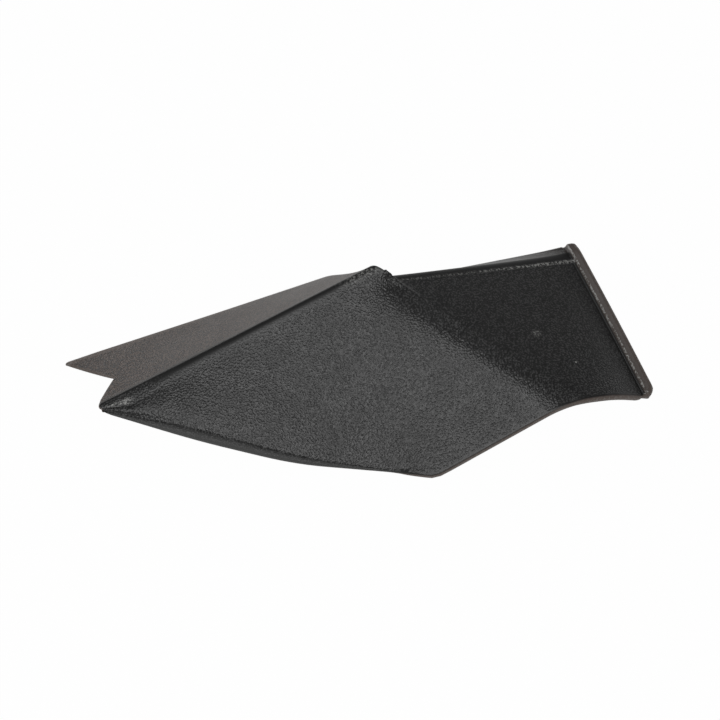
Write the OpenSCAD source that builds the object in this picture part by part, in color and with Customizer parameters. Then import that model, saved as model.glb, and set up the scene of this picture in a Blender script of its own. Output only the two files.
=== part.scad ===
// Wind deflector for a fairing, one moulded shell.
// It lies on its back edge: +X runs along the ridge, +Z is the draw direction.
// The skin is drawn as a swept section. Each section starts at the back edge,
// climbs the flange to the ridge, turns over it, crosses the face and ends at
// the front edge, which is rolled down on one side and raw on the other.

/* [Outline] */
// Length over both ends
panel_l = 180; // [170:1:190]
// Width over the back and front edges
panel_w = 90.5; // [87:0.5:94]
// Distance of the ridge from the back edge, at the nose
flange_w = 25.8; // [24:0.2:28]
// Distance of the front corner from the nose end
corner_at = 99.3; // [96:0.1:103]
// Distance of the knee in the slanting front edge from the nose end
knee_at = 57.9; // [54:0.1:62]
// Distance of that knee from the front line
knee_in = 24; // [22:0.2:26]
// Distance of the arch in the front edge from the nose end
arch_at = 148.4; // [145:0.2:151]
// Setback of the nose from the tip of the flange
nose_in = 3.5; // [2.5:0.1:5]
// Width of the face across the nose
nose_w = 1.8; // [1.6:0.1:3]
// Setback of the back edge beside the high end of the ridge
back_in = 2.7; // [1.5:0.1:4]
// Width of the back skirt just past the shoulder
skirt_high_w = 16; // [14:0.1:17]
// Width of the back skirt half way along the low side
skirt_mid_w = 11.5; // [10:0.1:12.5]
// Width of the back skirt at the rimmed end
skirt_w = 4.5; // [4:0.1:6]

/* [Heights] */
// Height of the ridge at the nose
nose_h = 10.4; // [10:0.1:12]
// Height of the ridge at its high end
apex_h = 38.2; // [36:0.1:41]
// Distance of the high end of the ridge from the nose end
apex_at = 103.7; // [101:0.1:106]
// Distance of the fold in the face from that high end
fold_in = 4; // [3:0.5:6]
// Length over which the ridge drops to the top edge of the low side
shoulder_l = 5.6; // [4.5:0.1:7]
// Setback of that top edge from the ridge
shoulder_in = 3.4; // [2.5:0.1:4]
// Height of the face at the rimmed end
end_h = 3.4; // [3:0.1:5]
// Height of the arch where its two slopes would meet
arch_h = 20.4; // [18:0.1:22]
// Height of the front edge half way down from the arch to the rim
lean_h = 12.4; // [11:0.1:14]
// Height of the front edge at the nose
nose_clear = 8.7; // [8:0.1:9]

/* [Skin] */
// Wall thickness
wall = 2.4; // [2.2:0.1:2.6]
// Leg of the rounding over the ridge, on the side of the face
ridge_leg = 4.4; // [3.6:0.1:5]
// Leg of that rounding on the side of the flange
crisp_leg = 1.2; // [1:0.1:1.6]
// Leg of the rounding at the rolled front edge
roll_leg = 3; // [2.6:0.1:3.4]
// Depth of the rolled front edge at its deepest
roll_h = 6.6; // [5.6:0.1:7.4]
// Half length of the bend across the fold of the face
fold_soft = 9; // [7:0.5:10]
// Rise of the face above its straight rulings
crown = 0.5; // [0.2:0.1:1]

/* [Ends] */
// Depth of the vee notch in the end of the flange
notch_d = 10.3; // [8:0.1:12]
// Place of the notch across the flange, from its back edge
notch_at = 0.64; // [0.6:0.01:0.7]
// Radius of the front corner at the rimmed end
corner_r = 3.6; // [3:0.1:4.2]
// Width of the rim band
rim_w = 3.3; // [3:0.1:4]
// Height of the rim band above the face
rim_h = 0.7; // [0.5:0.1:1]
// Depth of the fine groove beside the rim band
groove_d = 0.35; // [0.2:0.05:0.5]

/* [Fixing] */
// Distance of the first screw boss from the nose end
boss_a_at = 66; // [64:1:68]
// Distance of the first screw boss from the front line
boss_a_in = 45; // [44:1:47]
// Distance of the second screw boss from the nose end
boss_b_at = 140; // [138:1:142]
// Distance of the second screw boss from the front line
boss_b_in = 36; // [35:1:38]
// Outer diameter of a screw boss
boss_d = 8; // [7.4:0.1:9]
// Height of the boss mouths above the rest plane
boss_clear = 4; // [3:0.5:5]
// Diameter of the pilot bore for a screw
pilot_d = 3.2; // [2.8:0.1:3.6]
// Depth of the pilot bore
pilot_l = 10; // [8:0.5:10.5]
// Thickness of the ribs and gussets under the skin
rib_t = 1.6; // [1.2:0.1:2]
// Depth of the ribs below the inside of the skin
rib_h = 3; // [2:0.5:4]
// Reach of a gusset from the boss wall
gusset_l = 5; // [4:0.5:6]
// Distance between the cross ribs
rib_gap = 30; // [26:1:34]

/* [Hidden] */

half_l = panel_l / 2;
half_w = panel_w / 2;
edge_r = wall / 2;

// Stations are measured along the ridge
first_u = edge_r - half_l + nose_in;
last_u = half_l - edge_r;
apex_u = apex_at - half_l;
fold_u = apex_u - fold_in;
lip_u = half_l - rim_w - 0.8;
ridge_y = half_w - flange_w;
top_y = ridge_y - shoulder_in;
left_slope = (apex_h - nose_h) / (apex_u - first_u);
fold_h = nose_h + left_slope * (fold_u - first_u);

// Front edge: nose, knee, corner, arch, end
knee_u = first_u + 0.75 * (knee_at - nose_in);
corner_u = fold_u - 20;
front_y = edge_r - half_w;
lean_u = last_u - 12;
nose_x = first_u + 0.6;
front_xy = [
    [first_u, [nose_x, ridge_y - nose_w]],
    [knee_u, [knee_at - half_l, knee_in - half_w]],
    [corner_u, [corner_at - half_l, front_y]],
    [fold_u, [arch_at - half_l, front_y]],
    [lean_u, [lean_u, front_y]],
    [last_u, [last_u, front_y]]
];
front_soft = [8, 1.3, 9, 10];
low_x = first_u + 27;
low_h = 1.25 * wall;
front_z = [
    [nose_x, nose_clear],
    [low_x, low_h],
    [knee_at - half_l, edge_r + 0.1],
    [corner_at - half_l, 1.9 * edge_r],
    [arch_at - half_l, arch_h],
    [half_l - 15, lean_h],
    [lip_u, end_h],
    [last_u, end_h]
];
front_z_soft = [8, 6, 2.5, fold_soft, 5, 2.4];
// Depth of the roll: deepest near the nose, run out at the corner
roll_z = [
    [first_u, nose_h - 0.5 * nose_w - nose_clear],
    [first_u + 20, roll_h],
    [knee_u, 0.68 * roll_h],
    [knee_u + 14, 0.3 * roll_h],
    [corner_u, 0],
    [last_u, 0]
];
roll_soft = [6, 6, 5, 3];

// Crest: nose, fold, rim
crest_z = [
    [first_u, nose_h],
    [fold_u, fold_h],
    [lip_u, end_h],
    [last_u, end_h]
];
crest_soft = [fold_soft, 2.4];

// Back edge, as it curves in towards the low end
back_y = [
    [edge_r - half_l, half_w - edge_r],
    [apex_u - 4, half_w - back_in - edge_r],
    [apex_u + 8, top_y + skirt_high_w],
    [half_l - 45, top_y + skirt_mid_w],
    [half_l, top_y + skirt_w - edge_r]
];
back_soft = [5, 5, 8];

// A value that follows straight lines and bends softly at their corners
function ramp(x, w) = x <= -w ? 0 : x >= w ? x : (x + w) * (x + w) / (4 * w);
function slope(p, k) = (p[k + 1][1] - p[k][1]) / (p[k + 1][0] - p[k][0]);
function bends(x, p, w, k) = k > len(p) - 2
    ? 0 * p[0][1]
    : (slope(p, k) - slope(p, k - 1)) * ramp(x - p[k][0], w[k - 1]) + bends(x, p, w, k + 1);
function soft(x, p, w) = p[0][1] + slope(p, 0) * (x - p[0][0]) + bends(x, p, w, 1);
function ease(x) = let (c = min(1, max(0, x))) c * c * (3 - 2 * c);
function unit(v) = v / norm(v);

// How far the ridge still stands above the low side's own crest line
function shoulder(u) = let (low = soft(u, crest_z, crest_soft))
    (nose_h + left_slope * (u - first_u) - low) * (1 - ease((u - apex_u) / shoulder_l));
function crest(u) = [
    u,
    ridge_y - shoulder_in * ease((u - apex_u + 1) / (shoulder_l + 1)),
    soft(u, crest_z, crest_soft)
];
function back(u) = let (
    x = last_u + (u - last_u) * (half_l + last_u - edge_r) / (last_u - first_u),
    y = soft(x, back_y, back_soft),
    c = crest(u)
) [x, y, edge_r * (1 + (y - c[1]) / norm([y - c[1], c[2]]))];
function front(u) = let (p = soft(u, front_xy, front_soft))
    [p[0], p[1], soft(p[0], front_z, front_z_soft)];

// Corner between face and front edge: above it where the edge is rolled,
// brow_w up the face where it is raw
brow_w = 4;
function tail(u) = brow_w * ease((u - corner_u + 12) / 14);
function brow(u, c, f) = f + tail(u) * unit(c - f) + [0, 0, soft(u, roll_z, roll_soft)];

// A point of the outside at station u; row holds its stretch and its share
function turn(a, b, c, t) = (1 - t) * (1 - t) * a + 2 * t * (1 - t) * b + t * t * c;
function skin(u, row) = let (
    s = row[0],
    t = row[1],
    e = back(u),
    f = front(u),
    c = crest(u),
    b = brow(u, c, f),
    rise = [0, 0, shoulder(u)],
    la = min(ridge_leg, 0.45 * norm(b - c)),
    lb = min(roll_leg, 0.45 * norm(b - c), 0.45 * norm(f - b)),
    p = c + min(crisp_leg, la) * unit(e - c),
    q = c + la * unit(b - c),
    r = b + lb * unit(c - b),
    w = b + lb * unit(f - b)
)
    s == 0 ? e + t * (p - e) + t * t * t * rise
    : s == 1 ? turn(p, c, q, t) + rise
    : s == 2 ? q + t * (r - q) + pow(1 - t, 16) * rise + [0, 0, crown * 4 * t * (1 - t)]
    : s == 3 ? turn(r, b, w, t)
    : w + t * (f - w);

// Rows across the section
rows = concat(
    [for (t = [0, 0.18, 0.36]) [0, t]],
    [for (t = [0, 1 / 3, 2 / 3, 1]) [0, notch_at + (0.97 - notch_at) * t]],
    [for (t = [0:0.2:1]) [1, t]],
    [for (t = [0.03, 0.08, 0.15, 0.24, 0.34, 0.45, 0.56, 0.67, 0.78, 0.89, 1]) [2, t]],
    [for (t = [0.25:0.25:1]) [3, t]],
    [[4, 0.35], [4, 0.7], [4, 1]]
);

// Where each row starts behind the nose end: the vee notch and the round nose
function start(row) = row[0] == 0
    ? (row[1] < notch_at
        ? notch_d * row[1] / notch_at
        : notch_d * (1 - (row[1] - notch_at) / (1 - notch_at)))
    : row[0] == 1 ? 0.4 * pow(2 * row[1] - 1, 2)
    : row[0] == 2 ? 0.4 * (1 - row[1])
    : row[0] == 3 ? 0.4 * row[1]
    : 0.4 + 1.2 * row[1] * row[1];
// Where it stops before the rimmed end: the rounded front corner
function stop(row) = row[0] < 3 ? 0
    : let (d = (row[0] == 3 ? 0.8 + 0.5 * (1 - row[1]) : 0.7 * (1 - row[1])) * corner_r)
        d >= corner_r ? 0 : corner_r - sqrt(corner_r * corner_r - (corner_r - d) * (corner_r - d));

// Stations, closer together at the shoulder and at both ends
function spread(a, b, n) = [for (i = [0:n - 1]) a + (b - a) * i / n];
stations = concat(
    spread(first_u, first_u + 20, 10),
    spread(first_u + 20, fold_u - 4, 17),
    spread(fold_u - 4, apex_u + shoulder_l + 2, 13),
    spread(apex_u + shoulder_l + 2, lip_u - 2, 15),
    spread(lip_u - 2, lip_u + 2, 7),
    spread(lip_u + 2, last_u, 3),
    [last_u]
);
// The notch and the nose fade out within ends_l of the end
ends_l = 34;
function shifted(u, row) = u
    + start(row) * pow(max(0, 1 - (u - first_u) / ends_l), 2)
    - stop(row) * pow(max(0, 1 - (last_u - u) / (3 * corner_r)), 2);

nu = len(stations);
nv = len(rows);
function held(k, n) = min(n - 1, max(0, k));
base = [for (u = stations) [for (row = rows) skin(shifted(u, row), row)]];
function base_at(i, j) = base[held(i, nu)][held(j, nv)];
function normal_at(i, j) = unit(cross(
    base_at(i, j + 1) - base_at(i, j - 1),
    base_at(i + 1, j) - base_at(i - 1, j)
));
normals = [for (i = [0:nu - 1]) [for (j = [0:nv - 1]) normal_at(i, j)]];

// The wall runs thinner into the narrow nose
nose_wall = 0.5;
thin_l = 14;
function wall_at(u) = wall * (nose_wall + (1 - nose_wall) * ease((u - first_u) / thin_l));

// The rim band stands proud of the skin, with a fine groove beside it
function proud(x) = let (a = x - lip_u)
    rim_h * ease((a - 0.5) / 0.9) - groove_d * ease(1 - abs(a + 0.1) / 0.9);
function outside(i, j) = base[i][j] + proud(base[i][j][0]) * normals[i][j];
function inside(i, j) = base[i][j] - wall_at(stations[i]) * normals[i][j];

// The open edge of the skin, once round, with a half round over the wall
border = concat(
    [for (j = [0:nv - 2]) [0, j]],
    [for (i = [0:nu - 2]) [i, nv - 1]],
    [for (j = [nv - 1:-1:1]) [nu - 1, j]],
    [for (i = [nu - 1:-1:1]) [i, 0]]
);
nb = len(border);
function border_at(k) = border[(k + nb) % nb];
function edge_ring(k, a) = let (
    here = border_at(k),
    nrm = normals[here[0]][here[1]],
    o = outside(here[0], here[1]),
    i = inside(here[0], here[1]),
    before = border_at(k - 1),
    after = border_at(k + 1),
    run = base[after[0]][after[1]] - base[before[0]][before[1]],
    out = unit(cross(run, nrm))
) (o + i) / 2 + norm(o - i) / 2 * cos(a) * nrm + norm(o - i) / 2 * sin(a) * out;

skin_points = concat(
    [for (i = [0:nu - 1]) for (j = [0:nv - 1]) outside(i, j)],
    [for (i = [0:nu - 1]) for (j = [0:nv - 1]) inside(i, j)],
    [for (a = [45, 90, 135]) for (k = [0:nb - 1]) edge_ring(k, a)]
);
function out_id(i, j) = i * nv + j;
function in_id(i, j) = nu * nv + i * nv + j;
function ring_id(m, k) = let (b = border_at(k))
    m == 0 ? out_id(b[0], b[1])
    : m == 4 ? in_id(b[0], b[1])
    : 2 * nu * nv + (m - 1) * nb + (k + nb) % nb;
skin_faces = concat(
    [for (i = [0:nu - 2]) for (j = [0:nv - 2]) each [
        [out_id(i, j), out_id(i + 1, j), out_id(i + 1, j + 1)],
        [out_id(i, j), out_id(i + 1, j + 1), out_id(i, j + 1)]
    ]],
    [for (i = [0:nu - 2]) for (j = [0:nv - 2]) each [
        [in_id(i, j), in_id(i + 1, j + 1), in_id(i + 1, j)],
        [in_id(i, j), in_id(i, j + 1), in_id(i + 1, j + 1)]
    ]],
    [for (m = [0:3]) for (k = [0:nb - 1]) each [
        [ring_id(m, k), ring_id(m, k + 1), ring_id(m + 1, k + 1)],
        [ring_id(m, k), ring_id(m + 1, k + 1), ring_id(m + 1, k)]
    ]]
);

// Everything is shifted so that the shell rests at height 0 and is centred
xs = [for (p = skin_points) p[0]];
ys = [for (p = skin_points) p[1]];
zs = [for (p = skin_points) p[2]];
settle = [-(min(xs) + max(xs)) / 2, -(min(ys) + max(ys)) / 2, -min(zs)];

module skin_shell() {
    polyhedron(points = skin_points, faces = skin_faces, convexity = 8);
}

// A block under the face, from one depth below the outside to another
block_u = [for (i = [4:3:nu - 10]) i];
block_v = [for (j = [13:2:21]) j];
bu = len(block_u);
bv = len(block_v);
function block_top(drop) = [for (i = block_u) for (j = block_v) base[i][j] - [0, 0, drop]];
function block_low(drop, floor_z) = [for (i = block_u) for (j = block_v)
    [base[i][j][0], base[i][j][1], drop > 0 ? base[i][j][2] - drop : floor_z]];
function bi(s, i, j) = s * bu * bv + i * bv + j;
block_faces = concat(
    [for (i = [0:bu - 2]) for (j = [0:bv - 2]) each [
        [bi(0, i, j), bi(0, i + 1, j), bi(0, i + 1, j + 1)],
        [bi(0, i, j), bi(0, i + 1, j + 1), bi(0, i, j + 1)],
        [bi(1, i, j), bi(1, i + 1, j + 1), bi(1, i + 1, j)],
        [bi(1, i, j), bi(1, i, j + 1), bi(1, i + 1, j + 1)]
    ]],
    [for (i = [0:bu - 2]) each [
        [bi(0, i, 0), bi(1, i, 0), bi(1, i + 1, 0)],
        [bi(0, i, 0), bi(1, i + 1, 0), bi(0, i + 1, 0)],
        [bi(0, i, bv - 1), bi(1, i + 1, bv - 1), bi(1, i, bv - 1)],
        [bi(0, i, bv - 1), bi(0, i + 1, bv - 1), bi(1, i + 1, bv - 1)]
    ]],
    [for (j = [0:bv - 2]) each [
        [bi(0, 0, j), bi(1, 0, j + 1), bi(1, 0, j)],
        [bi(0, 0, j), bi(0, 0, j + 1), bi(1, 0, j + 1)],
        [bi(0, bu - 1, j), bi(1, bu - 1, j), bi(1, bu - 1, j + 1)],
        [bi(0, bu - 1, j), bi(1, bu - 1, j + 1), bi(0, bu - 1, j + 1)]
    ]]
);
mid_drop = 0.75 * wall;
rib_drop = wall * 1.15 + rib_h;

module under_face(low_drop) {
    polyhedron(
        points = concat(block_top(mid_drop), block_low(low_drop, -5)),
        faces = block_faces,
        convexity = 4
    );
}

boss_at = [
    [boss_a_at - half_l, boss_a_in - half_w, boss_clear] - settle,
    [boss_b_at - half_l, boss_b_in - half_w, boss_clear] - settle
];
column_h = apex_h + 10;
web_z = 2;
rib_reach = [70, 240];

module boss_columns() {
    for (at = boss_at) {
        translate(at)
            cylinder(d = boss_d, h = column_h, $fn = 48);
        // Gussets lean from the boss to the skin, along and across
        for (turned = [0, 90, 180, 270])
            translate(at)
                rotate([0, 0, turned])
                    rotate([90, 0, 0])
                        translate([0, 0, -rib_t / 2])
                            linear_extrude(rib_t)
                                polygon([
                                    [0, web_z],
                                    [boss_d / 2, web_z],
                                    [boss_d / 2 + gusset_l, column_h],
                                    [0, column_h]
                                ]);
    }
}

module rib_plates() {
    // One rib runs along the panel through both bosses, the others cross it
    along = boss_at[1] - boss_at[0];
    translate([boss_at[0][0], boss_at[0][1], 0])
        rotate([0, 0, atan2(along[1], along[0])])
            translate([-rib_reach[0], -rib_t / 2, 0])
                cube([rib_reach[1], rib_t, column_h]);
    for (x = [boss_at[0][0] - rib_gap:rib_gap:boss_at[1][0] + 5])
        translate([x - rib_t / 2, -half_w, 0])
            cube([rib_t, panel_w, column_h]);
}

module deflector_shell() {
    color([0.07, 0.07, 0.075])
        translate(settle)
            difference() {
                union() {
                    skin_shell();
                    intersection() {
                        boss_columns();
                        under_face(0);
                    }
                    intersection() {
                        rib_plates();
                        under_face(rib_drop);
                    }
                }
                for (at = boss_at)
                    translate(at - [0, 0, 1])
                        cylinder(d = pilot_d, h = pilot_l + 1, $fn = 32);
            }
}

deflector_shell();
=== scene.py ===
import math

import bmesh
import bpy
from bpy.props import FloatProperty, FloatVectorProperty, PointerProperty
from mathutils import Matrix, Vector
from mathutils.bvhtree import BVHTree


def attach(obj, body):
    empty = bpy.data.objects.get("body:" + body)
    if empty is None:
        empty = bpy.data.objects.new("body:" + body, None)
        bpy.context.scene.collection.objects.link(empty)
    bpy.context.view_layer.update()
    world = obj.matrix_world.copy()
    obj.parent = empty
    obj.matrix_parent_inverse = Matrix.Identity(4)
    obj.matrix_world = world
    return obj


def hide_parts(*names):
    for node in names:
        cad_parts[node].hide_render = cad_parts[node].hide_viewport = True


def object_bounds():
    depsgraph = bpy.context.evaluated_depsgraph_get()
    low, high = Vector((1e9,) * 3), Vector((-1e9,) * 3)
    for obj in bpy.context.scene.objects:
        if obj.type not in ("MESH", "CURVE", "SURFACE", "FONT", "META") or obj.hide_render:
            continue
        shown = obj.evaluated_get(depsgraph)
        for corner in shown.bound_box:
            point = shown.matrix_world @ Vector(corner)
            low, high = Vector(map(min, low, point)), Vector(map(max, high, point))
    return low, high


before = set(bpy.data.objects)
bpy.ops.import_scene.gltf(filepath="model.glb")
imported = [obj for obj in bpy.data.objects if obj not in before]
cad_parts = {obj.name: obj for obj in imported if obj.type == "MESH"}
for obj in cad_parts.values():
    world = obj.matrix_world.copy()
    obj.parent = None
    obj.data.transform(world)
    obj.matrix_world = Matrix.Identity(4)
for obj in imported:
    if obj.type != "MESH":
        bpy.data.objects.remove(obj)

bl_info = {
    "name": "Fairing Wind Deflector",
    "version": (1, 0, 0),
    "blender": (4, 5, 0),
    "location": "View3D > Sidebar > Deflector",
    "description": "Builds a moulded wind deflector for a fairing, with its studio",
    "category": "Object",
}

MM = 0.001
NODE = "deflector_shell"
CAD_BOX = [list(corner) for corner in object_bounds()]

# What stands on the inside of the skin runs this share of the wall into it
SUNK = 0.75


def mm(name, text, value):
    """A length that the sidebar shows in the scene's unit, written here in millimetres."""
    return FloatProperty(name=name, description=text, default=value * MM, min=0.0, unit="LENGTH")


def to_linear(code):
    """An sRGB hex colour as linear red, green and blue."""
    def channel(pair):
        share = int(pair, 16) / 255
        return share / 12.92 if share <= 0.04045 else ((share + 0.055) / 1.055) ** 2.4
    return tuple(channel(code[k:k + 2]) for k in (1, 3, 5))


def opaque(colour):
    """The colour of a setting, with the alpha that a node's socket wants."""
    return tuple(colour) + (1.0,)


def colour_of(name, text, code):
    """A colour setting whose default is written as sRGB hex."""
    return FloatVectorProperty(
        name=name, description=text, default=to_linear(code), size=3, min=0.0, max=1.0,
        subtype="COLOR",
    )


# Sizes

class PanelSizes(bpy.types.PropertyGroup):
    """Outline, heights and wall of the moulded skin."""
    panel_l: mm("Length", "Length over both ends", 180)
    panel_w: mm("Width", "Width over the back and front edges", 90.5)
    flange_w: mm("Flange width", "Distance of the ridge from the back edge, at the nose", 25.8)
    corner_at: mm("Corner", "Distance of the front corner from the nose end", 99.3)
    knee_at: mm("Knee", "Distance of the front edge's knee from the nose end", 57.9)
    knee_in: mm("Knee inset", "Distance of that knee from the front line", 24)
    arch_at: mm("Arch", "Distance of the arch in the front edge from the nose end", 148.4)
    nose_in: mm("Nose setback", "Setback of the nose from the tip of the flange", 3.5)
    nose_w: mm("Nose width", "Width of the face across the nose", 1.8)
    back_in: mm("Back setback", "Setback of the back edge beside the high end", 2.7)
    skirt_high_w: mm("High skirt", "Width of the back skirt just past the shoulder", 16)
    skirt_mid_w: mm("Middle skirt", "Width of the back skirt half way along the low side", 11.5)
    skirt_w: mm("End skirt", "Width of the back skirt at the rimmed end", 4.5)
    nose_h: mm("Nose height", "Height of the ridge at the nose", 10.4)
    apex_h: mm("Apex height", "Height of the ridge at its high end", 38.2)
    apex_at: mm("Apex", "Distance of the ridge's high end from the nose end", 103.7)
    fold_in: mm("Fold setback", "Distance of the fold in the face from the ridge's high end", 4)
    shoulder_l: mm("Shoulder length", "Length over which the ridge drops", 5.6)
    shoulder_in: mm("Shoulder setback", "Setback of the low side's top edge", 3.4)
    end_h: mm("End height", "Height of the face at the rimmed end", 3.4)
    arch_h: mm("Arch height", "Height at which the arch's two slopes would meet", 20.4)
    lean_h: mm("Lean height", "Height of the front edge between arch and rim", 12.4)
    nose_clear: mm("Nose clearance", "Height of the front edge at the nose", 8.7)
    wall: mm("Wall", "Wall thickness", 2.4)
    ridge_leg: mm("Ridge leg", "Leg of the rounding over the ridge, on the side of the face", 4.4)
    crisp_leg: mm("Crisp leg", "Leg of that rounding on the side of the flange", 1.2)
    roll_leg: mm("Roll leg", "Leg of the rounding at the rolled front edge", 3)
    roll_h: mm("Roll depth", "Depth of the rolled front edge at its deepest", 6.6)
    fold_soft: mm("Fold softness", "Half length of the bend across the fold", 9)
    crown: mm("Crown", "Rise of the face above its straight rulings", 0.5)
    notch_d: mm("Notch depth", "Depth of the vee notch in the end of the flange", 10.3)
    notch_at: FloatProperty(
        name="Notch place", description="Share of the flange's width at which the notch is deepest",
        default=0.64, min=0.3, max=0.8, subtype="FACTOR",
    )
    corner_r: mm("Corner radius", "Radius of the front corner at the rimmed end", 3.6)
    rim_w: mm("Rim width", "Width of the rim band", 3.3)
    rim_h: mm("Rim height", "Height of the rim band above the face", 0.7)
    groove_d: mm("Groove depth", "Depth of the fine groove beside the rim band", 0.35)


class FixingSizes(bpy.types.PropertyGroup):
    """Screw bosses, gussets and ribs behind the face."""
    boss_a_at: mm("First boss", "Distance of the first boss from the nose end", 66)
    boss_a_in: mm("First boss inset", "Distance of the first boss from the front line", 45)
    boss_b_at: mm("Second boss", "Distance of the second boss from the nose end", 140)
    boss_b_in: mm("Second boss inset", "Distance of the second boss from the front line", 36)
    boss_d: mm("Boss diameter", "Outer diameter of a screw boss", 8)
    boss_clear: mm("Boss clearance", "Height of the boss mouths above the rest plane", 4)
    pilot_d: mm("Pilot diameter", "Diameter of the pilot bore", 3.2)
    pilot_l: mm("Pilot depth", "Depth of the pilot bore", 10)
    rib_t: mm("Rib thickness", "Thickness of the ribs and gussets", 1.6)
    rib_h: mm("Rib depth", "Depth of the ribs below the inside of the skin", 3)
    gusset_l: mm("Gusset reach", "Reach of a gusset from the boss wall", 5)
    rib_gap: mm("Rib spacing", "Distance between the cross ribs", 30)


class FinishSettings(bpy.types.PropertyGroup):
    """Colours of the plastic, of its wear and dust, and of the light and highlights painted on it."""
    plastic: colour_of("Plastic", "Colour of the black moulded plastic", "#181818")
    peak: colour_of("Peak", "Colour of the grain's peaks, polished by handling", "#525252")
    dust: colour_of("Dust", "Colour of the dust in the grain and on raw edges", "#6B605A")
    scuff_and_highlight: colour_of("Scuff", "Colour of the plastic where it is rubbed pale", "#A9A9A6")
    grain_pitch: mm("Grain pitch", "Distance between the peaks of the moulded grain", 1.1)


class StudioSettings(bpy.types.PropertyGroup):
    """Camera and floor."""
    distance: mm("Camera distance", "Distance of the camera from its target", 1100)
    azimuth: FloatProperty(
        name="Azimuth", description="Direction that the camera looks from, about the upright axis",
        default=math.radians(-22.9), subtype="ANGLE", unit="ROTATION",
    )
    elevation: FloatProperty(
        name="Elevation", description="Angle of the camera above the floor",
        default=math.radians(60.82), subtype="ANGLE", unit="ROTATION",
    )
    lens: FloatProperty(
        name="Lens", description="Focal length in millimetres, on a sensor 36 mm wide",
        default=162, min=20,
    )
    aim_along: FloatProperty(
        name="Aim along", description="Place that the camera aims at, along the ridge",
        default=3.37 * MM, unit="LENGTH",
    )
    aim_across: FloatProperty(
        name="Aim across", description="Place that the camera aims at, across the ridge",
        default=8.06 * MM, unit="LENGTH",
    )
    paper: colour_of("Paper", "Colour of the floor paper", "#F4F4F3")


# Form of the skin, in millimetres

def ramp(x, w):
    """0 before the corner, x after it, and a parabola over w on both sides of it."""
    if x <= -w:
        return 0.0
    return x if x >= w else (x + w) * (x + w) / (4 * w)


def soft(x, knots, widths):
    """A value that follows straight lines between knots and bends softly at each."""
    def slope(k):
        return (knots[k + 1][1] - knots[k][1]) / (knots[k + 1][0] - knots[k][0])
    value = knots[0][1] + slope(0) * (x - knots[0][0])
    for k in range(1, len(knots) - 1):
        value = value + (slope(k) - slope(k - 1)) * ramp(x - knots[k][0], widths[k - 1])
    return value


def ease(x):
    """0 below 0, 1 above 1, and a smooth step between them."""
    x = min(1.0, max(0.0, x))
    return x * x * (3 - 2 * x)


def turn(a, b, c, t):
    """A rounded corner from a over b to c."""
    return (1 - t) * (1 - t) * a + 2 * t * (1 - t) * b + t * t * c


# Stretches of a section, from the back edge to the front edge
FLANGE, RIDGE, FACE, ROLL, LIP = range(5)


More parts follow.
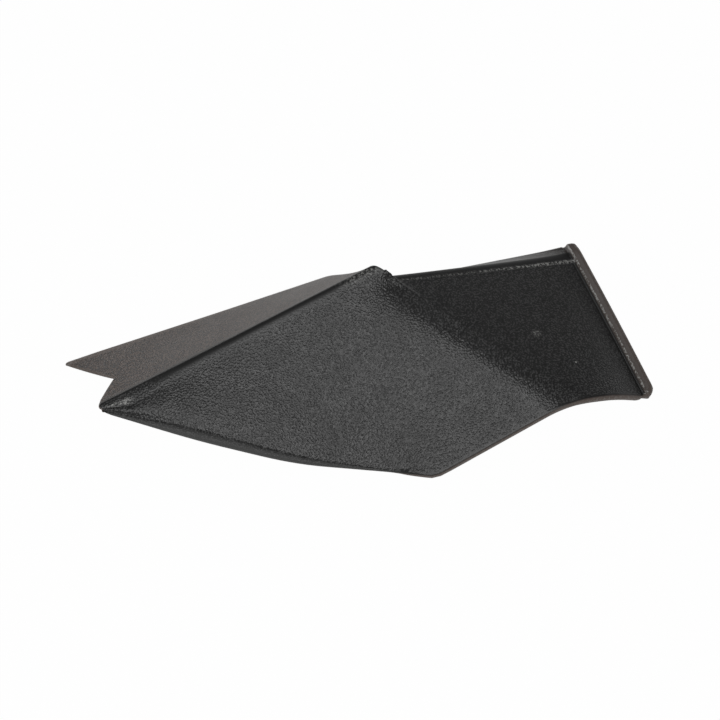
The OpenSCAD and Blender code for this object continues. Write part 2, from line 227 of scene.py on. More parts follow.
class PanelForm:
    """The outside of the skin as sections along the ridge."""

    def __init__(self, sizes):
        for name in sizes.bl_rna.properties.keys():
            if name not in ("rna_type", "name"):
                value = getattr(sizes, name)
                setattr(self, name, value if name == "notch_at" else value / MM)
        self.half_l = self.panel_l / 2
        self.half_w = self.panel_w / 2
        self.edge_r = self.wall / 2
        self.first_u = self.edge_r - self.half_l + self.nose_in
        self.last_u = self.half_l - self.edge_r
        self.apex_u = self.apex_at - self.half_l
        self.fold_u = self.apex_u - self.fold_in
        self.lip_u = self.half_l - self.rim_w - 0.8
        self.ridge_y = self.half_w - self.flange_w
        self.top_y = self.ridge_y - self.shoulder_in
        self.left_slope = (self.apex_h - self.nose_h) / (self.apex_u - self.first_u)
        self.fold_h = self.nose_h + self.left_slope * (self.fold_u - self.first_u)
        self.plan_front()
        self.plan_crest()
        self.plan_back()

    def plan_front(self):
        """Front edge: nose, knee, corner, arch and end."""
        first, last = self.first_u, self.last_u
        knee = first + 0.75 * (self.knee_at - self.nose_in)
        self.corner_u = corner = self.fold_u - 20
        lean = last - 12
        front_y = self.edge_r - self.half_w
        nose_x = first + 0.6
        self.front_xy = [
            (first, Vector((nose_x, self.ridge_y - self.nose_w))),
            (knee, Vector((self.knee_at - self.half_l, self.knee_in - self.half_w))),
            (corner, Vector((self.corner_at - self.half_l, front_y))),
            (self.fold_u, Vector((self.arch_at - self.half_l, front_y))),
            (lean, Vector((lean, front_y))),
            (last, Vector((last, front_y))),
        ]
        self.front_xy_soft = [8, 1.3, 9, 10]
        self.front_z = [
            (nose_x, self.nose_clear),
            (first + 27, 1.25 * self.wall),
            (self.knee_at - self.half_l, self.edge_r + 0.1),
            (self.corner_at - self.half_l, 1.9 * self.edge_r),
            (self.arch_at - self.half_l, self.arch_h),
            (self.half_l - 15, self.lean_h),
            (self.lip_u, self.end_h),
            (last, self.end_h),
        ]
        self.front_z_soft = [8, 6, 2.5, self.fold_soft, 5, 2.4]
        self.roll_z = [
            (first, self.nose_h - 0.5 * self.nose_w - self.nose_clear),
            (first + 20, self.roll_h),
            (knee, 0.68 * self.roll_h),
            (knee + 14, 0.3 * self.roll_h),
            (corner, 0),
            (last, 0),
        ]
        self.roll_soft = [6, 6, 5, 3]

    def plan_crest(self):
        """Crest of the ridge and of the low side's top edge."""
        self.crest_z = [
            (self.first_u, self.nose_h),
            (self.fold_u, self.fold_h),
            (self.lip_u, self.end_h),
            (self.last_u, self.end_h),
        ]
        self.crest_soft = [self.fold_soft, 2.4]

    def plan_back(self):
        """Back edge, as it curves in towards the low end."""
        self.back_y = [
            (self.edge_r - self.half_l, self.half_w - self.edge_r),
            (self.apex_u - 4, self.half_w - self.back_in - self.edge_r),
            (self.apex_u + 8, self.top_y + self.skirt_high_w),
            (self.half_l - 45, self.top_y + self.skirt_mid_w),
            (self.half_l, self.top_y + self.skirt_w - self.edge_r),
        ]
        self.back_soft = [5, 5, 8]

    def shoulder(self, u):
        """How far the ridge still stands above the low side's own crest line."""
        low = soft(u, self.crest_z, self.crest_soft)
        high = self.nose_h + self.left_slope * (u - self.first_u)
        return (high - low) * (1 - ease((u - self.apex_u) / self.shoulder_l))

    def crest(self, u):
        """The ridge line, without its high side's rise."""
        setback = self.shoulder_in * ease((u - self.apex_u + 1) / (self.shoulder_l + 1))
        return Vector((u, self.ridge_y - setback, soft(u, self.crest_z, self.crest_soft)))

    def back(self, u):
        """The raw back edge, which stands on the rest plane."""
        reach = (self.half_l + self.last_u - self.edge_r) / (self.last_u - self.first_u)
        x = self.last_u + (u - self.last_u) * reach
        y = soft(x, self.back_y, self.back_soft)
        crest = self.crest(u)
        out = y - crest.y
        return Vector((x, y, self.edge_r * (1 + out / math.hypot(out, crest.z))))

    def front(self, u):
        """The front edge, at the end of the lip."""
        place = soft(u, self.front_xy, self.front_xy_soft)
        return Vector((place.x, place.y, soft(place.x, self.front_z, self.front_z_soft)))

    def section(self, u):
        """Corner points of a section and the ends of its two roundings."""
        e, c, f = self.back(u), self.crest(u), self.front(u)
        tail = 4 * ease((u - self.corner_u + 12) / 14)
        b = f + tail * (c - f).normalized() + Vector((0, 0, soft(u, self.roll_z, self.roll_soft)))
        face = (b - c).length
        la = min(self.ridge_leg, 0.45 * face)
        lb = min(self.roll_leg, 0.45 * face, 0.45 * (f - b).length)
        return {
            "e": e, "c": c, "b": b, "f": f,
            "p": c + min(self.crisp_leg, la) * (e - c).normalized(),
            "q": c + la * (b - c).normalized(),
            "r": b + lb * (c - b).normalized(),
            "w": b + lb * (f - b).normalized(),
            "rise": Vector((0, 0, self.shoulder(u))),
        }

    def point(self, u, row):
        """A point of the outside at station u; row holds its stretch and its share."""
        stretch, t = row
        s = self.section(u)
        if stretch == FLANGE:
            return s["e"] + t * (s["p"] - s["e"]) + t ** 3 * s["rise"]
        if stretch == RIDGE:
            return turn(s["p"], s["c"], s["q"], t) + s["rise"]
        if stretch == FACE:
            bulge = Vector((0, 0, self.crown * 4 * t * (1 - t)))
            return s["q"] + t * (s["r"] - s["q"]) + (1 - t) ** 16 * s["rise"] + bulge
        if stretch == ROLL:
            return turn(s["r"], s["b"], s["w"], t)
        return s["w"] + t * (s["f"] - s["w"])

    def start(self, row):
        """Where a row starts behind the nose end: the vee notch and the round nose."""
        stretch, t = row
        if stretch == FLANGE:
            if t < self.notch_at:
                return self.notch_d * t / self.notch_at
            return self.notch_d * (1 - (t - self.notch_at) / (1 - self.notch_at))
        if stretch == RIDGE:
            return 0.4 * (2 * t - 1) ** 2
        if stretch == FACE:
            return 0.4 * (1 - t)
        if stretch == ROLL:
            return 0.4 * t
        return 0.4 + 1.2 * t * t

    def stop(self, row):
        """Where a row stops before the rimmed end: the rounded front corner."""
        stretch, t = row
        if stretch < ROLL:
            return 0.0
        share = 0.8 + 0.5 * (1 - t) if stretch == ROLL else 0.7 * (1 - t)
        depth = share * self.corner_r
        if depth >= self.corner_r:
            return 0.0
        return self.corner_r - math.sqrt(self.corner_r ** 2 - (self.corner_r - depth) ** 2)

    def shifted(self, u, row):
        """The station of a row, drawn in toward the notch, the round nose and the front corner."""
        ends_l = 34
        near = max(0.0, 1 - (u - self.first_u) / ends_l) ** 2
        far = max(0.0, 1 - (self.last_u - u) / (3 * self.corner_r)) ** 2
        return u + self.start(row) * near - self.stop(row) * far

    def wall_at(self, u):
        """The wall runs thinner into the narrow nose."""
        return self.wall * (0.5 + 0.5 * ease((u - self.first_u) / 14))

    def proud(self, x):
        """Height of the rim band and depth of its groove at x."""
        a = x - self.lip_u
        return self.rim_h * ease((a - 0.5) / 0.9) - self.groove_d * ease(1 - abs(a + 0.1) / 0.9)


def spread(a, b, count):
    """Even steps from a to b, without b."""
    return [a + (b - a) * k / count for k in range(count)]


class SkinGrid:
    """Outside, inside and edge rings of the skin, sampled finely enough to shade smooth."""
    EDGE_STEPS = 6

    def __init__(self, form):
        self.form = form
        self.rows = (
            [(FLANGE, t) for t in spread(0, form.notch_at, 8)]
            + [(FLANGE, t) for t in spread(form.notch_at, 0.98, 8)]
            + [(RIDGE, t) for t in spread(0, 1, 14)] + [(RIDGE, 1.0)]
            + [(FACE, 0.02 + 0.98 * t ** 1.3) for t in spread(0, 1, 34)] + [(FACE, 1.0)]
            + [(ROLL, t) for t in spread(0, 1, 8)[1:]] + [(ROLL, 1.0)]
            + [(LIP, t) for t in spread(0, 1, 5)[1:]] + [(LIP, 1.0)]
        )
        high = form.apex_u + form.shoulder_l
        self.stations = (
            spread(form.first_u, form.first_u + 20, 26)
            + spread(form.first_u + 20, form.fold_u - 6, 46)
            + spread(form.fold_u - 6, high + 3, 34)
            + spread(high + 3, form.lip_u - 2, 42)
            + spread(form.lip_u - 2, form.lip_u + 2.2, 22)
            + spread(form.lip_u + 2.2, form.last_u, 8)
            + [form.last_u]
        )
        self.base = [
            [form.point(form.shifted(u, row), row) for row in self.rows] for u in self.stations
        ]
        self.normals = [[self.normal(i, j) for j in range(self.nv)] for i in range(self.nu)]

    @property
    def nu(self):
        return len(self.stations)

    @property
    def nv(self):
        return len(self.rows)

    def held(self, i, j):
        """The nearest sample, where i or j is past the grid's end."""
        return self.base[min(self.nu - 1, max(0, i))][min(self.nv - 1, max(0, j))]

    def normal(self, i, j):
        across = self.held(i, j + 1) - self.held(i, j - 1)
        along = self.held(i + 1, j) - self.held(i - 1, j)
        return across.cross(along).normalized()

    def outside(self, i, j):
        place = self.base[i][j]
        return place + self.form.proud(place.x) * self.normals[i][j]

    def inside(self, i, j):
        return self.base[i][j] - self.form.wall_at(self.stations[i]) * self.normals[i][j]

    def border(self):
        """The open edge, once round."""
        nu, nv = self.nu, self.nv
        return (
            [(0, j) for j in range(nv - 1)] + [(i, nv - 1) for i in range(nu - 1)]
            + [(nu - 1, j) for j in range(nv - 1, 0, -1)] + [(i, 0) for i in range(nu - 1, 0, -1)]
        )


# Meshes

def add_object(name, verts, faces, material, flat=False):
    """A new object at the frame's origin, in metres."""
    mesh = bpy.data.meshes.new(name)
    mesh.from_pydata([tuple(v) for v in verts], [], faces)
    mesh.validate()
    mesh.materials.append(material)
    if not flat:
        mesh.shade_smooth()
    piece = bpy.data.objects.new(name, mesh)
    bpy.context.scene.collection.objects.link(piece)
    return piece


def add_share(piece, name, values):
    """A share per point that the plastic's nodes read."""
    layer = piece.data.attributes.new(name, "FLOAT", "POINT")
    layer.data.foreach_set("value", values)


def join_part(piece):
    """The piece goes with the part's only body and stands for its CAD node."""
    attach(piece, "root")
    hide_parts(NODE)


class Skin:
    """The skin's mesh, settled like the frame, with its shares for grain, for wear with painted
    highlights, and for dust with painted light.
    """

    def __init__(self, form):
        self.grid = grid = SkinGrid(form)
        self.form = form
        nu, nv, border = grid.nu, grid.nv, grid.border()
        nb = len(border)
        points = [grid.outside(i, j) for i in range(nu) for j in range(nv)]
        points += [grid.inside(i, j) for i in range(nu) for j in range(nv)]
        shares = [self.share_at(i, j) for i in range(nu) for j in range(nv)]
        shares += [(0.0, 0.0, 0.0)] * (nu * nv)
        # The raw edge is painted pale all round as dust and as painted reflection of the floor, and
        # paler along its middle as a painted highlight
        for step in range(1, grid.EDGE_STEPS):
            angle = math.pi * step / grid.EDGE_STEPS
            for k in range(nb):
                points.append(self.edge_point(k, angle, border))
                shares.append((0.0, 0.35 * math.sin(angle), 1.0))
        self.outer_faces = [
            (i * nv + j, (i + 1) * nv + j, (i + 1) * nv + j + 1, i * nv + j + 1)
            for i in range(nu - 1) for j in range(nv - 1)
        ]
        inner = [tuple(nu * nv + v for v in reversed(face)) for face in self.outer_faces]
        edge = []
        for m in range(grid.EDGE_STEPS):
            for k in range(nb):
                a, b = self.ring_id(m, k, border), self.ring_id(m, k + 1, border)
                c, d = self.ring_id(m + 1, k + 1, border), self.ring_id(m + 1, k, border)
                edge.append((a, b, c, d))
        self.faces = self.outer_faces + inner + edge
        low = [min(p[k] for p in points) for k in range(3)]
        high = [max(p[k] for p in points) for k in range(3)]
        shift = Vector((-(low[0] + high[0]) / 2, -(low[1] + high[1]) / 2, -low[2]))
        # Finer facets bulge a hair beyond the CAD's, so the skin is held to its box
        cad_size = [(CAD_BOX[1][k] - CAD_BOX[0][k]) / MM for k in range(3)]
        hold = min(1.0, *(cad_size[k] / (high[k] - low[k]) for k in range(3)))
        self.verts = [(p + shift) * hold * MM for p in points]
        self.shares = shares
        self.tree = BVHTree.FromPolygons(self.verts[:nu * nv], self.outer_faces)

    def edge_point(self, k, angle, border):
        """A point of the rounded raw edge, from the outside at 0 to the inside at pi."""
        grid, nb = self.grid, len(border)
        i, j = border[k]
        up = grid.normals[i][j]
        o, n = grid.outside(i, j), grid.inside(i, j)
        after, before = border[(k + 1) % nb], border[k - 1]
        run = grid.base[after[0]][after[1]] - grid.base[before[0]][before[1]]
        out = run.cross(up).normalized()
        r = (o - n).length / 2
        return (o + n) / 2 + r * math.cos(angle) * up + r * math.sin(angle) * out

    def ring_id(self, m, k, border):
        """The vertex at place k of the edge's ring m, outside first and inside last."""
        i, j = border[k % len(border)]
        nu, nv = self.grid.nu, self.grid.nv
        if m == 0:
            return i * nv + j
        if m == self.grid.EDGE_STEPS:
            return nu * nv + i * nv + j
        return 2 * nu * nv + (m - 1) * len(border) + k % len(border)

    def share_at(self, i, j):
        """Grain, wear with painted highlights, and dust with painted light at a point of the outside;
        the lengths are in millimetres.
        """
        form, grid = self.form, self.grid
        stretch, t = grid.rows[j]
        u = grid.stations[i]
        place = grid.base[i][j]
        from_lip = place.x - form.lip_u
        low_side = ease((u - form.apex_u) / 4)
        grain = worn = dusty = 0.0
        if stretch == FLANGE:
            # Grained, and painted pale and warm as dust and as painted light from behind, up to a
            # bare strip along the edge and along the ridge
            from_edge = (grid.base[i][0] - place).length
            grain = ease(from_edge / 1.2) * ease((1 - t) * 14)
            dusty = ease((1 - t) * 12) * (1 - 0.8 * low_side)
        if stretch == RIDGE:
            # Painted pale where rubbed over the apex and at the nose, and as a thin painted highlight
            # line along the top of the low side
            top = 1 - abs(2 * t - 1)
            at_apex = ease((u - form.apex_u + 16) / 10) * (1 - ease((u - form.apex_u - 2) / 4))
            at_nose = ease((u - form.first_u - 1) / 3) * (1 - ease((u - form.first_u - 7) / 4))
            at_rim = ease((u - form.lip_u + 45) / 40)
            worn = max(
                0.9 * top * at_apex,
                2.5 * ease(1 - abs(t - 0.75) / 0.22) * at_nose,
                (0.7 + 1.8 * at_rim) * low_side * ease(1 - abs(t - 0.8) / 0.12),
            )
            # The grain starts half way over the ridge, and sooner at the nose
            at_tip = ease((t - 0.1) / 0.3) * (1 - ease((u - form.first_u - 12) / 16))
            grain = max(ease((t - 0.5) / 0.5), at_tip)
        run = (grid.base[i][-1] - place).length
        if stretch == FACE:
            grain = ease(run / 1.5) if u > form.corner_u else 1.0
        if stretch >= ROLL:
            # Past the corner the grain ends at the raw edge, and before it on the rolled lip
            grain = ease((u - form.corner_u + 10) / 10) * ease(run / 1.2)
            grain = max(grain, 1.0 if stretch == ROLL else 1 - ease(t / 0.7))
        # The rim band is smooth and painted pale as dust and as painted light, with a painted
        # highlight line along its inner edge
        band = ease((from_lip - 0.3) / 0.7)
        dusty = max(dusty, 0.6 * band)
        grain *= 1 - ease((from_lip + 1.2) / 0.8)
        edge = ease((from_lip - 0.8) / 0.2) * (1 - ease((from_lip - 1.15) / 0.25))
        return grain, max(worn * (1 - band), 4.0 * edge), dusty

    def height(self, x, y):
        """Height of the outside above a point of the rest plane, in metres."""
        hit = self.tree.ray_cast(Vector((x, y, 1.0)), Vector((0, 0, -1)))[0]
        if hit is None:
            raise RuntimeError("no skin above %.4f, %.4f" % (x, y))
        return hit.z

    def covers(self, x, y, clear):
        """True if the skin is above the point and clear metres around it, and is no slope that
        looks to the front there: the tree's faces are wound inward, so their normals point down."""
        for dx, dy in ((0, 0), (clear, 0), (-clear, 0), (0, clear), (0, -clear)):
            above = Vector((x + dx, y + dy, 1.0))
            place, normal = self.tree.ray_cast(above, Vector((0, 0, -1)))[:2]
            if place is None or normal.y > 0.1:
                return False
        return True


def tube_with_bore(outer, inner, depth, low, top_of, steps=64):
    """A column with a blind bore from below and a top that follows the skin."""
    verts, faces = [], []

    def ring(radius, z_of):
        first = len(verts)
        for k in range(steps):
            turn_by = 2 * math.pi * k / steps
            x, y = radius * math.cos(turn_by), radius * math.sin(turn_by)
            verts.append(Vector((x, y, z_of(x, y))))
        return first

    def bridge(a, b):
        for k in range(steps):
            n = (k + 1) % steps
            faces.append((a + k, a + n, b + n, b + k))

    # The mouth of the bore and the foot of the column are broken by a small chamfer
    break_r = 0.3 * MM
    loops = [
        ring(outer, top_of),
        ring(outer, lambda x, y: low + break_r),
        ring(outer - break_r, lambda x, y: low),
        ring(inner + break_r, lambda x, y: low),
        ring(inner, lambda x, y: low + break_r),
        ring(inner, lambda x, y: low + depth),
    ]
    for a, b in zip(loops, loops[1:]):
        bridge(b, a)
    faces.append(tuple(loops[0] + k for k in range(steps)))
    faces.append(tuple(loops[-1] + k for k in reversed(range(steps))))
    return verts, faces


def plate(line, half_t, top_of, low_of):
    """An upright plate along a line of plan points, between two heights."""
    verts, faces = [], []
    run = (line[-1] - line[0]).normalized()
    side = Vector((-run.y, run.x)) * half_t
    for p in line:
        for s in (1, -1):
            q = p + s * side
            verts += [Vector((q.x, q.y, top_of(p))), Vector((q.x, q.y, low_of(p)))]
    for k in range(len(line) - 1):
        a, b = 4 * k, 4 * (k + 1)
        faces += [
            (a, b, b + 1, a + 1), (a + 3, b + 3, b + 2, a + 2),
            (a + 2, b + 2, b, a), (a + 1, b + 1, b + 3, a + 3),
        ]
    last = 4 * (len(line) - 1)
    faces += [(0, 1, 3, 2), (last + 2, last + 3, last + 1, last)]
    return verts, faces


def merge(parts):
    """Several closed meshes as one."""
    verts, faces = [], []
    for part_verts, part_faces in parts:
        first = len(verts)
        verts += part_verts
        faces += [tuple(first + v for v in face) for face in part_faces]
    return verts, faces


def outward(piece):
    """All faces of a closed mesh look outward."""
    mesh = bmesh.new()
    mesh.from_mesh(piece.data)
    bmesh.ops.recalc_face_normals(mesh, faces=mesh.faces)
    mesh.to_mesh(piece.data)
    mesh.free()


# Plastic

def add_node(tree, kind, links=None, **settings):
    """A node with its settings; links holds what feeds its inputs, by name or number."""
    node = tree.nodes.new(kind)
    for name, value in settings.items():
        setattr(node, name, value)
    for name, value in (links or {}).items():
        socket = node.inputs[name]
        if isinstance(value, bpy.types.NodeSocket):
            tree.links.new(value, socket)
        else:
            socket.default_value = value
    return node


# Marks of use on the face: place in metres, radius, and how pale between and on the flecks
MARKS = (
    ((0.0579, -0.0150, 0.0186), 2.2 * MM, 0.03, 0.6),
    ((0.0661, -0.0288, 0.0157), 0.5 * MM, 1.0, 1.0),
    ((0.0830, 0.0130, 0.0047), 0.4 * MM, 0.5, 0.8),
    ((-0.0776, 0.0173, 0.0118), 0.6 * MM, 1.0, 1.0),
)


def moulded_abs(finish):
    """ABS, black in the mass, moulded in a tool whose face is spark-eroded: a matt grain of
    small soft bumps that glitters where light grazes it, with bare smooth bands."""
    name = "black moulded ABS"
    if name in bpy.data.materials:
        return bpy.data.materials[name]
    material = bpy.data.materials.new(name)
    material.use_nodes = True
    tree = material.node_tree
    tree.nodes.clear()
    place = add_node(tree, "ShaderNodeTexCoord").outputs["Object"]
    share = {
        word: add_node(tree, "ShaderNodeAttribute", attribute_name=word).outputs["Fac"]
        for word in ("grain", "worn", "dusty")
    }

    def times(a, b, clamp=False):
        node = add_node(tree, "ShaderNodeMath", {0: a, 1: b}, operation="MULTIPLY", use_clamp=clamp)
        return node.outputs[0]

    def step(value, low, high, to_low=0.0, to_high=1.0):
        links = {
            "Value": value, "From Min": low, "From Max": high, "To Min": to_low, "To Max": to_high,
        }
        return add_node(tree, "ShaderNodeMapRange", links, interpolation_type="SMOOTHSTEP").outputs[0]

    def blend(share_of, a, b):
        node = add_node(tree, "ShaderNodeMix", data_type="RGBA")
        for name_in, value in (("Factor", share_of), ("A", a), ("B", b)):
            socket = next(s for s in node.inputs if s.name == name_in and s.enabled)
            if isinstance(value, bpy.types.NodeSocket):
                tree.links.new(value, socket)
            else:
                socket.default_value = value
        return next(s for s in node.outputs if s.enabled)

    # Spark-eroded grain: soft bumps as on leather, with nearly two cells of noise to a peak
    cells = 1.9
    grain = add_node(
        tree, "ShaderNodeTexNoise",
        {"Vector": place, "Scale": cells / finish.grain_pitch, "Detail": 0.4, "Roughness": 0.5},
    ).outputs["Fac"]
    # Slow unevenness of the moulded surface over about 12 mm, so its sheen isn't dead even
    waves = add_node(
        tree, "ShaderNodeTexNoise", {"Vector": place, "Scale": 1 / (12 * MM), "Detail": 2.0},
    ).outputs["Fac"]
    # Rubbing and the painted highlight lines break into short pale flecks, 0.7 mm apart
    flecks = add_node(
        tree, "ShaderNodeTexNoise",
        {"Vector": place, "Scale": 1 / (0.7 * MM), "Detail": 3.0, "Roughness": 0.7},
    ).outputs["Fac"]
    rubbed_and_highlit = times(share["worn"], step(flecks, 0.46, 0.64), clamp=True)

    scuff_and_highlight = opaque(finish.scuff_and_highlight)
    height = times(grain, share["grain"])
    # Dust and painted light stay in the valleys of the grain, so the back flange looks mottled, warm
    # and pale
    dust_and_light_mix = times(share["dusty"], step(height, 0.40, 0.60, 1.0, 0.2))
    colour = blend(dust_and_light_mix, opaque(finish.plastic), opaque(finish.dust))
    # Peaks of the grain are polished a shade paler by handling
    polished = times(share["grain"], step(grain, 0.46, 0.70, 0.0, 0.7))
    colour = blend(polished, colour, opaque(finish.peak))
    # Pale flecks of rubbing, and of the painted highlight lines along the edges
    colour = blend(rubbed_and_highlit, colour, scuff_and_highlight)
    for spot_place, spot_r, least, most in MARKS:
        gap = add_node(
            tree, "ShaderNodeVectorMath", {0: place, 1: spot_place}, operation="DISTANCE",
        ).outputs["Value"]
        spot = step(gap, spot_r, 0.35 * spot_r)
        spot = times(spot, step(flecks, 0.45, 0.62, least, most), clamp=True)
        colour = blend(spot, colour, scuff_and_highlight)

    # Satin rather than matt where it is bare, and duller where dust and painted light are laid on
    roughness = add_node(
        tree, "ShaderNodeMath",
        {0: step(waves, 0.3, 0.7, 0.35, 0.40), 1: times(share["dusty"], 0.08)}, operation="ADD",
    ).outputs[0]
    bump = add_node(
        tree, "ShaderNodeBump", {"Height": height, "Strength": 1.0, "Distance": 0.21 * MM},
    )
    soft_bump = add_node(
        tree, "ShaderNodeBump",
        {"Height": waves, "Strength": 1.0, "Distance": 0.10 * MM, "Normal": bump.outputs["Normal"]},
    )
    shader = add_node(
        tree, "ShaderNodeBsdfPrincipled",
        {
            "Base Color": colour, "Roughness": roughness, "IOR": 1.54,
            "Normal": soft_bump.outputs["Normal"],
        },
    )
    add_node(tree, "ShaderNodeOutputMaterial", {"Surface": shader.outputs[0]})
    return material


# Operators

class DEFLECTOR_OT_skin(bpy.types.Operator):
    """Adds the moulded skin: flange, ridge, folded face, rolled front edge and rim band"""
    bl_idname = "deflector.add_skin"
    bl_label = "Moulded Skin"

    def execute(self, context):
        settings = context.scene.deflector
        skin = Skin(PanelForm(settings.panel))
        piece = add_object("moulded_skin", skin.verts, skin.faces, moulded_abs(settings.finish))
        for k, word in enumerate(("grain", "worn", "dusty")):
            add_share(piece, word, [share[k] for share in skin.shares])
        join_part(piece)
        return {"FINISHED"}


def boss_places(sizes, fixing):
    """Plan points of the two screw bosses."""
    half = Vector((sizes.panel_l / 2, sizes.panel_w / 2))
    return [
        Vector((fixing.boss_a_at, fixing.boss_a_in)) - half,
        Vector((fixing.boss_b_at, fixing.boss_b_in)) - half,
    ]


class DEFLECTOR_OT_bosses(bpy.types.Operator):
    """Adds the two screw bosses with their pilot bores and gussets"""
    bl_idname = "deflector.add_bosses"
    bl_label = "Screw Bosses"

    def execute(self, context):
        settings = context.scene.deflector
        sizes, fixing = settings.panel, settings.fixing
        skin = Skin(PanelForm(sizes))
        sink = SUNK * sizes.wall
        for n, at in enumerate(boss_places(sizes, fixing), 1):
            top = lambda x, y: skin.height(at.x + x, at.y + y) - sink
            verts, faces = tube_with_bore(
                fixing.boss_d / 2, fixing.pilot_d / 2, fixing.pilot_l, fixing.boss_clear, top,
            )
            parts = [([v + Vector((at.x, at.y, 0)) for v in verts], faces)]
            for quarter in range(4):
                way = Vector((math.cos(quarter * math.pi / 2), math.sin(quarter * math.pi / 2)))
                parts.append(self.gusset(skin, at, way, sizes, fixing, sink))
            piece = add_object(
                "screw_boss_%d" % n, *merge(parts), moulded_abs(settings.finish), flat=True,
            )
            outward(piece)
            join_part(piece)
        return {"FINISHED"}

    def gusset(self, skin, at, way, sizes, fixing, sink):
        """A leaning web from the boss wall out to the skin."""
        web_z = 2 * MM
        column_h = sizes.apex_h + 10 * MM
        foot = fixing.boss_d / 2
        inner = 0.75 * foot
        low = fixing.boss_clear + web_z
        rise = column_h - web_z
        steps = 10
        line = []
        for k in range(steps + 1):
            reach = inner + (foot + fixing.gusset_l - inner) * k / steps
            p = at + way * reach
            lean = low + rise * max(0.0, reach - foot) / fixing.gusset_l
            if lean > skin.height(p.x, p.y) - sink - 0.2 * MM:
                break
            line.append((p, lean))
        under = {tuple(p): lean for p, lean in line}
        return plate(
            [p for p, lean in line], fixing.rib_t / 2,
            lambda p: skin.height(p.x, p.y) - sink, lambda p: under[tuple(p)],
        )


class DEFLECTOR_OT_ribs(bpy.types.Operator):
    """Adds the long rib through the bosses and the cross ribs"""
    bl_idname = "deflector.add_ribs"
    bl_label = "Stiffening Ribs"
    # The long rib's ends, in millimetres from the first boss, if the skin reached that far
    LONG_RIB = (-70, 171)

    def execute(self, context):
        settings = context.scene.deflector
        sizes, fixing = settings.panel, settings.fixing
        skin = Skin(PanelForm(sizes))
        first, second = boss_places(sizes, fixing)
        along = (second - first).normalized()
        half_w = round(sizes.panel_w / 2 / MM)
        lines = [[first + along * s * MM for s in range(*self.LONG_RIB)]]
        x = first.x - fixing.rib_gap
        while x < second.x + 5 * MM:
            lines.append([Vector((x, y * MM)) for y in range(-half_w, half_w + 1)])
            x += fixing.rib_gap
        # On the slope the skin is thicker when measured upright than across
        upright_wall = 1.15 * sizes.wall
        top = lambda p: skin.height(p.x, p.y) - SUNK * sizes.wall
        low = lambda p: skin.height(p.x, p.y) - upright_wall - fixing.rib_h
        for n, line in enumerate(lines, 1):
            # A rib ends short of the skin's edge and of the rest plane
            line = [p for p in line if skin.covers(p.x, p.y, 6 * MM) and low(p) > 2 * MM]
            if len(line) < 2:
                continue
            piece = add_object(
                "stiffening_rib_%d" % n, *plate(line, fixing.rib_t / 2, top, low),
                moulded_abs(settings.finish), flat=True,
            )
            outward(piece)
            join_part(piece)
        return {"FINISHED"}


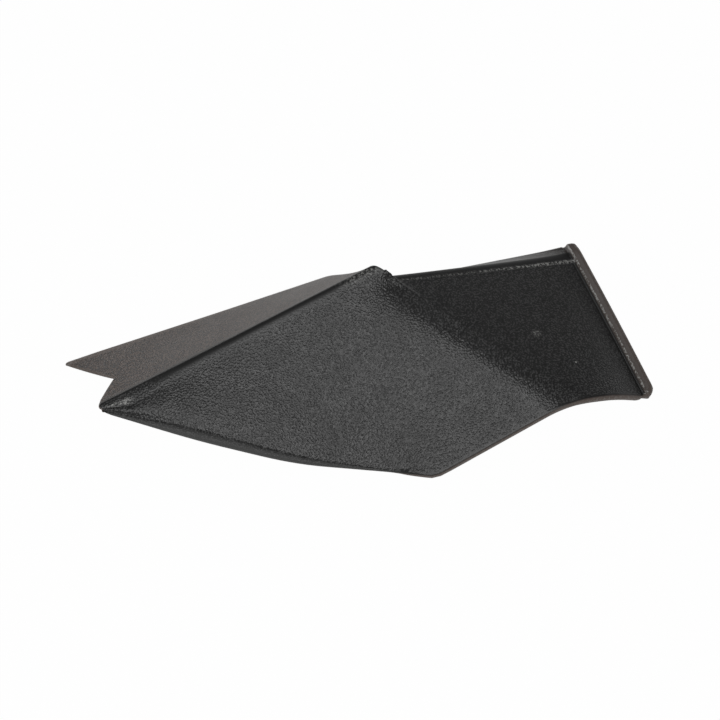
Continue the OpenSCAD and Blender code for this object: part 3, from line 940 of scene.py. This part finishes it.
class DEFLECTOR_OT_studio(bpy.types.Operator):
    """Adds the floor, the soft lights, the world and the camera"""
    bl_idname = "deflector.add_studio"
    bl_label = "Studio"

    def execute(self, context):
        studio = context.scene.deflector.studio
        self.add_floor(studio)
        # A softbox for the face's near side, a small panel for the rim and a low one for the flange
        self.add_panel("front softbox", -38, 54, distance=1.0, size=(0.85, 0.36), level=3.2)
        self.add_panel("top panel", 142, 56, distance=1.0, size=(0.4, 0.25), level=1.9)
        self.add_panel("back panel", -160, 12, distance=1.1, size=(1.1, 0.32), level=1.65)
        self.light_world()
        self.add_camera(studio)
        context.scene.view_settings.view_transform = "Standard"
        return {"FINISHED"}

    def direction(self, azimuth, elevation):
        """From the part's middle toward an azimuth and an elevation in degrees."""
        a, e = math.radians(azimuth), math.radians(elevation)
        return Vector((math.sin(a) * math.cos(e), -math.cos(a) * math.cos(e), math.sin(e)))

    def add_floor(self, studio):
        # Metres, far past the picture's edges
        half = 3.0
        corners = [(-half, -half, 0), (half, -half, 0), (half, half, 0), (-half, half, 0)]
        floor = add_object("floor", corners, [(0, 1, 2, 3)], self.paper(studio), flat=True)

    def paper(self, studio):
        """Matt white background paper: no gloss, and it keeps a faint soft shadow."""
        material = bpy.data.materials.new("white background paper")
        material.use_nodes = True
        tree = material.node_tree
        tree.nodes.clear()
        matt = add_node(tree, "ShaderNodeBsdfDiffuse", {"Color": opaque(studio.paper)})
        bright = add_node(tree, "ShaderNodeEmission", {"Color": (1, 1, 1, 1), "Strength": 1.0})
        path = add_node(tree, "ShaderNodeLightPath")
        # Shares of plain white in what the camera sees and in what the plastic mirrors
        seen, in_gloss = 0.985, 0.35
        mirrored = add_node(
            tree, "ShaderNodeMath", {0: path.outputs["Is Glossy Ray"], 1: in_gloss},
            operation="MULTIPLY",
        )
        share = add_node(
            tree, "ShaderNodeMath",
            {0: path.outputs["Is Camera Ray"], 1: seen, 2: mirrored.outputs[0]},
            operation="MULTIPLY_ADD",
        )
        mixed = add_node(
            tree, "ShaderNodeMixShader",
            {0: share.outputs[0], 1: matt.outputs[0], 2: bright.outputs[0]},
        )
        add_node(tree, "ShaderNodeOutputMaterial", {"Surface": mixed.outputs[0]})
        return material

    def add_panel(self, name, azimuth, elevation, distance, size, level):
        """An area light, its distance and size in metres, whose face is level times white."""
        lamp = bpy.data.lights.new(name, "AREA")
        lamp.shape = "RECTANGLE"
        lamp.size, lamp.size_y = size
        lamp.energy = level * 4 * size[0] * size[1]
        holder = bpy.data.objects.new(name, lamp)
        back = self.direction(azimuth, elevation)
        holder.location = back * distance
        holder.rotation_euler = back.to_track_quat("Z", "Y").to_euler()
        holder.visible_camera = False
        bpy.context.scene.collection.objects.link(holder)

    def light_world(self):
        """A grey room, white where the camera sees it."""
        world = bpy.data.worlds.new("studio room")
        world.use_nodes = True
        tree = world.node_tree
        tree.nodes.clear()
        path = add_node(tree, "ShaderNodeLightPath")
        level = add_node(
            tree, "ShaderNodeMapRange",
            {"Value": path.outputs["Is Camera Ray"], "To Min": 0.13, "To Max": 1.0},
        )
        room = add_node(
            tree, "ShaderNodeBackground", {"Color": (1, 1, 1, 1), "Strength": level.outputs[0]},
        )
        add_node(tree, "ShaderNodeOutputWorld", {"Surface": room.outputs[0]})
        bpy.context.scene.world = world

    def add_camera(self, studio):
        camera = bpy.data.cameras.new("camera")
        camera.sensor_width = 36
        camera.lens = studio.lens
        camera.clip_end = 20
        holder = bpy.data.objects.new("camera", camera)
        back = self.direction(math.degrees(studio.azimuth), math.degrees(studio.elevation))
        aim = Vector((studio.aim_along, studio.aim_across, 0))
        holder.location = aim + back * studio.distance
        holder.rotation_euler = back.to_track_quat("Z", "Y").to_euler()
        bpy.context.scene.collection.objects.link(holder)
        bpy.context.scene.camera = holder


class DeflectorSettings(bpy.types.PropertyGroup):
    """All settings of the deflector."""
    panel: PointerProperty(name="Panel", description="Sizes of the skin", type=PanelSizes)
    fixing: PointerProperty(name="Fixing", description="Sizes of bosses and ribs", type=FixingSizes)
    finish: PointerProperty(name="Finish", description="Colours and grain", type=FinishSettings)
    studio: PointerProperty(name="Studio", description="Camera and floor", type=StudioSettings)


STEPS = (DEFLECTOR_OT_skin, DEFLECTOR_OT_bosses, DEFLECTOR_OT_ribs, DEFLECTOR_OT_studio)


class DEFLECTOR_PT_panel(bpy.types.Panel):
    """Lists the steps and the settings."""
    bl_idname = "DEFLECTOR_PT_panel"
    bl_label = "Wind Deflector"
    bl_space_type = "VIEW_3D"
    bl_region_type = "UI"
    bl_category = "Deflector"

    def draw(self, context):
        settings = context.scene.deflector
        for step in STEPS:
            self.layout.operator(step.bl_idname)
        for group in (settings.panel, settings.fixing, settings.finish, settings.studio):
            box = self.layout.box()
            for name in group.bl_rna.properties.keys():
                if name not in ("rna_type", "name"):
                    box.prop(group, name)


CLASSES = (
    PanelSizes, FixingSizes, FinishSettings, StudioSettings, DeflectorSettings,
    *STEPS, DEFLECTOR_PT_panel,
)


def register():
    for kind in CLASSES:
        bpy.utils.register_class(kind)
    bpy.types.Scene.deflector = PointerProperty(type=DeflectorSettings)


def unregister():
    del bpy.types.Scene.deflector
    for kind in reversed(CLASSES):
        bpy.utils.unregister_class(kind)


def main():
    register()
    bpy.ops.deflector.add_skin()
    bpy.ops.deflector.add_bosses()
    bpy.ops.deflector.add_ribs()
    bpy.ops.deflector.add_studio()


if __name__ == "__main__":
    main()
